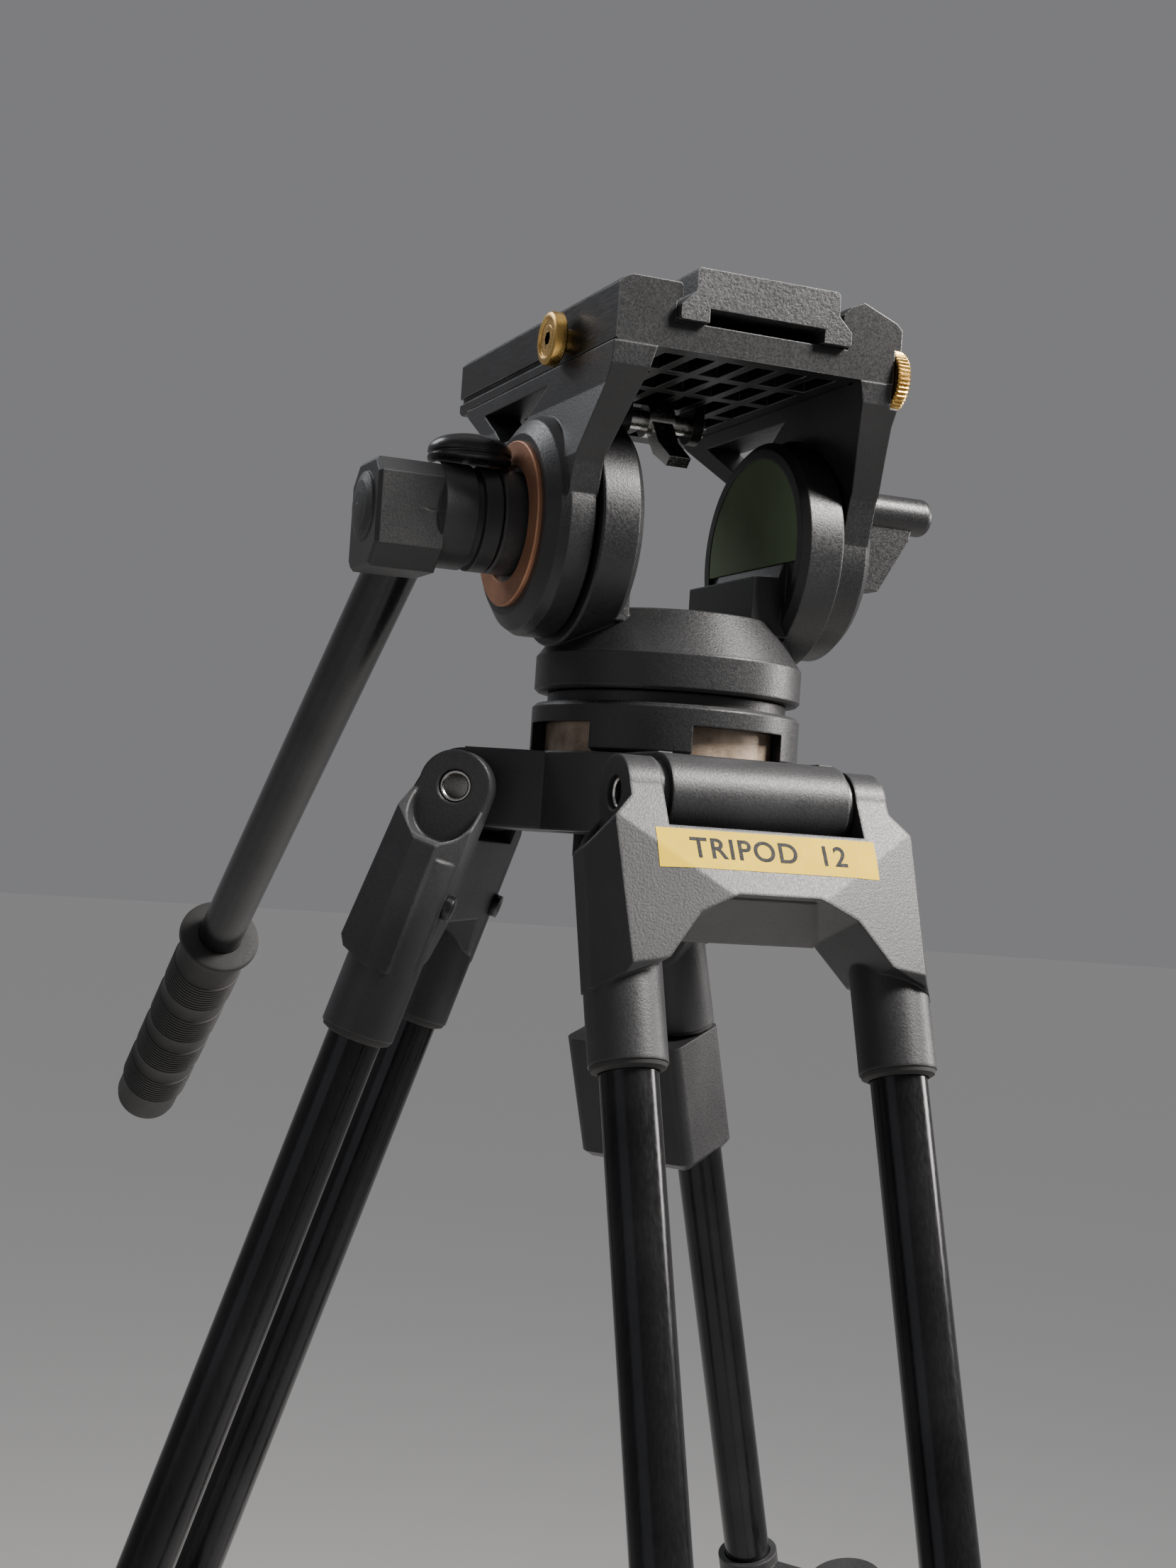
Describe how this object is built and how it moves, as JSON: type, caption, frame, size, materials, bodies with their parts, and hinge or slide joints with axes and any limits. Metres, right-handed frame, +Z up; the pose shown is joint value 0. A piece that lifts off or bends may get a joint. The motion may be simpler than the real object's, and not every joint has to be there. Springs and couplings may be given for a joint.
{
  "type": "video tripod with fluid head",
  "caption": "Video tripod: paired-tube legs with flip locks, cast crown, and a fluid head with pan base, tilt yoke, sliding camera plate and angled pan handle.",
  "frame": {"origin": "on the floor, on the axis that the head pans about", "axes": "+Z up along the pan axis; -Y towards the front leg and the lens end of the head; +X to the right of a person facing the front leg, with the pan handle on -X"},
  "size_m": [0.8116, 0.8343, 1.365],
  "materials": {
    "cast_black": "fine textured powder coat",
    "head_black": "satin textured paint",
    "platform_black": "black anodised extrusion",
    "plate_black": "grained black anodising",
    "tube_black": "smooth black anodising",
    "moulded_black": "fine spark texture",
    "rubber_black": "matt",
    "bright_steel": "turned",
    "bush_grey": "moulded",
    "bare_ring": "bare, lightly stained",
    "bronze": "matt bronze",
    "brass": "satin brass",
    "cover_green": "matt grey-green",
    "level_vial": "clear vial with tinted spirit"
  },
  "bodies": {
    "crown": {"crown": "cast_black", "bush_rings": "bush_grey", "seat_ring": "bare_ring", "base_flange": "head_black"},
    "front_leg": {"front_leg_yoke": "cast_black", "front_leg_pin": "bright_steel", "front_upper_tubes": "tube_black", "front_lock_block": "moulded_black"},
    "front_lock_lever": {"front_lock_lever": "moulded_black"},
    "front_centre_stage": {"front_guide_bridge": "moulded_black", "front_centre_tube": "tube_black", "front_lower_clamp": "moulded_black"},
    "front_lower_lever": {"front_lower_lever": "moulded_black"},
    "front_lower_stage": {"front_lower_tube": "tube_black", "front_foot": "rubber_black"},
    "right_leg": {"right_leg_yoke": "cast_black", "right_leg_pin": "bright_steel", "right_upper_tubes": "tube_black", "right_lock_block": "moulded_black", "tool_case": "moulded_black"},
    "right_lock_lever": {"right_lock_lever": "moulded_black"},
    "right_centre_stage": {"right_guide_bridge": "moulded_black", "right_centre_tube": "tube_black", "right_lower_clamp": "moulded_black"},
    "right_lower_lever": {"right_lower_lever": "moulded_black"},
    "right_lower_stage": {"right_lower_tube": "tube_black", "right_foot": "rubber_black"},
    "left_leg": {"left_leg_yoke": "cast_black", "left_leg_pin": "bright_steel", "left_upper_tubes": "tube_black", "left_lock_block": "moulded_black"},
    "left_lock_lever": {"left_lock_lever": "moulded_black"},
    "left_centre_stage": {"left_guide_bridge": "moulded_black", "left_centre_tube": "tube_black", "left_lower_clamp": "moulded_black"},
    "left_lower_lever": {"left_lower_lever": "moulded_black"},
    "left_lower_stage": {"left_lower_tube": "tube_black", "left_foot": "rubber_black"},
    "tie_down_knob": {"tie_down_knob": "moulded_black"},
    "pan_body": {"pan_body": "head_black", "yoke_covers": "cover_green", "tilt_axles": "bright_steel", "bubble_level": "level_vial"},
    "pan_lock_knob": {"pan_lock_knob": "moulded_black"},
    "tilt_carriage": {"left_housing": "head_black", "right_housing": "head_black", "platform": "platform_black", "bronze_washer": "bronze", "handle_hub": "moulded_black"},
    "tilt_lock_lever": {"tilt_lock_lever": "head_black"},
    "pan_handle": {"handle_clamp": "moulded_black", "pan_bar": "tube_black", "grip": "rubber_black"},
    "handle_lock_knob": {"handle_lock_knob": "moulded_black"},
    "quick_plate": {"quick_plate": "plate_black", "plate_pads": "rubber_black"},
    "camera_screw": {"camera_screw": "bright_steel"},
    "plate_dial": {"plate_dial": "brass"},
    "plate_button": {"plate_button": "brass"},
    "release_lever": {"release_lever": "bright_steel"}
  },
  "joints": [
    {"name": "front_leg_spread", "type": "hinge", "parent": "crown", "child": "front_leg", "pos_m": [0, -0.0635, 1.18951], "axis": [1, 0, 0], "range_deg": [0, 18]},
    {"name": "front_lock_lever_flip", "type": "hinge", "parent": "front_leg", "child": "front_lock_lever", "pos_m": [0, -0.2251, 0.76465], "axis": [-1, 0, 0], "range_deg": [0, 100]},
    {"name": "front_centre_slide", "type": "slide", "parent": "front_leg", "child": "front_centre_stage", "axis": [0, 0.309, 0.9511], "range_m": [-0.085, 0.21]},
    {"name": "front_lower_lever_flip", "type": "hinge", "parent": "front_centre_stage", "child": "front_lower_lever", "pos_m": [0, -0.35084, 0.37441], "axis": [-1, 0, 0], "range_deg": [0, 100]},
    {"name": "front_lower_slide", "type": "slide", "parent": "front_centre_stage", "child": "front_lower_stage", "axis": [0, 0.309, 0.9511], "range_m": [-0.12, 0.26]},
    {"name": "right_leg_spread", "type": "hinge", "parent": "crown", "child": "right_leg", "pos_m": [0.05499, 0.03175, 1.18951], "axis": [-0.5, 0.866, 0], "range_deg": [0, 18]},
    {"name": "right_lock_lever_flip", "type": "hinge", "parent": "right_leg", "child": "right_lock_lever", "pos_m": [0.19494, 0.11255, 0.76465], "axis": [0.5, -0.866, 0], "range_deg": [0, 100]},
    {"name": "right_centre_slide", "type": "slide", "parent": "right_leg", "child": "right_centre_stage", "axis": [-0.2676, -0.1545, 0.9511], "range_m": [-0.085, 0.165]},
    {"name": "right_lower_lever_flip", "type": "hinge", "parent": "right_centre_stage", "child": "right_lower_lever", "pos_m": [0.30384, 0.17542, 0.37441], "axis": [0.5, -0.866, 0], "range_deg": [0, 100]},
    {"name": "right_lower_slide", "type": "slide", "parent": "right_centre_stage", "child": "right_lower_stage", "axis": [-0.2676, -0.1545, 0.9511], "range_m": [-0.12, 0.26]},
    {"name": "left_leg_spread", "type": "hinge", "parent": "crown", "child": "left_leg", "pos_m": [-0.05499, 0.03175, 1.18951], "axis": [-0.5, -0.866, 0], "range_deg": [0, 18]},
    {"name": "left_lock_lever_flip", "type": "hinge", "parent": "left_leg", "child": "left_lock_lever", "pos_m": [-0.19494, 0.11255, 0.76465], "axis": [0.5, 0.866, 0], "range_deg": [0, 100]},
    {"name": "left_centre_slide", "type": "slide", "parent": "left_leg", "child": "left_centre_stage", "axis": [0.2676, -0.1545, 0.9511], "range_m": [-0.085, 0.21]},
    {"name": "left_lower_lever_flip", "type": "hinge", "parent": "left_centre_stage", "child": "left_lower_lever", "pos_m": [-0.30384, 0.17542, 0.37441], "axis": [0.5, 0.866, 0], "range_deg": [0, 100]},
    {"name": "left_lower_slide", "type": "slide", "parent": "left_centre_stage", "child": "left_lower_stage", "axis": [0.2676, -0.1545, 0.9511], "range_m": [-0.12, 0.26]},
    {"name": "tie_down_turn", "type": "hinge", "parent": "crown", "child": "tie_down_knob", "pos_m": [0, 0, 1.17721], "axis": [0, 0, 1], "continuous": true},
    {"name": "head_pan", "type": "hinge", "parent": "crown", "child": "pan_body", "pos_m": [0, 0, 1.22481], "axis": [0, 0, 1], "continuous": true},
    {"name": "pan_lock_turn", "type": "hinge", "parent": "pan_body", "child": "pan_lock_knob", "pos_m": [0, 0.0457, 1.23141], "axis": [0, 1, 0], "range_deg": [-60, 60]},
    {"name": "head_tilt", "type": "hinge", "parent": "pan_body", "child": "tilt_carriage", "pos_m": [0, 0, 1.27866], "axis": [1, 0, 0], "range_deg": [-30, 75]},
    {"name": "tilt_lock_turn", "type": "hinge", "parent": "tilt_carriage", "child": "tilt_lock_lever", "pos_m": [0.0583, 0, 1.29966], "axis": [1, 0, 0], "range_deg": [-60, 60]},
    {"name": "handle_angle", "type": "hinge", "parent": "tilt_carriage", "child": "pan_handle", "pos_m": [-0.07, 0, 1.27866], "axis": [-1, 0, 0], "range_deg": [-60, 20]},
    {"name": "handle_lock_turn", "type": "hinge", "parent": "pan_handle", "child": "handle_lock_knob", "pos_m": [-0.0775, 0, 1.27866], "axis": [0, 0, 1], "continuous": true},
    {"name": "plate_slide", "type": "slide", "parent": "tilt_carriage", "child": "quick_plate", "axis": [0, 1, 0], "range_m": [-0.02, 0.02]},
    {"name": "camera_screw_turn", "type": "hinge", "parent": "quick_plate", "child": "camera_screw", "pos_m": [0, 0, 1.35801], "axis": [0, 0, 1], "continuous": true},
    {"name": "plate_dial_turn", "type": "hinge", "parent": "tilt_carriage", "child": "plate_dial", "pos_m": [0.0494, -0.05, 1.33401], "axis": [1, 0, 0], "continuous": true},
    {"name": "plate_button_push", "type": "slide", "parent": "tilt_carriage", "child": "plate_button", "axis": [1, 0, 0], "range_m": [0, 0.002], "stiffness_N_per_m": 1500, "springref_m": -0.001},
    {"name": "release_turn", "type": "hinge", "parent": "tilt_carriage", "child": "release_lever", "pos_m": [0, 0.024, 1.32551], "axis": [1, 0, 0], "range_deg": [0, 35], "stiffness_Nm_per_rad": 0.05, "springref_deg": -17.19}
  ]
}
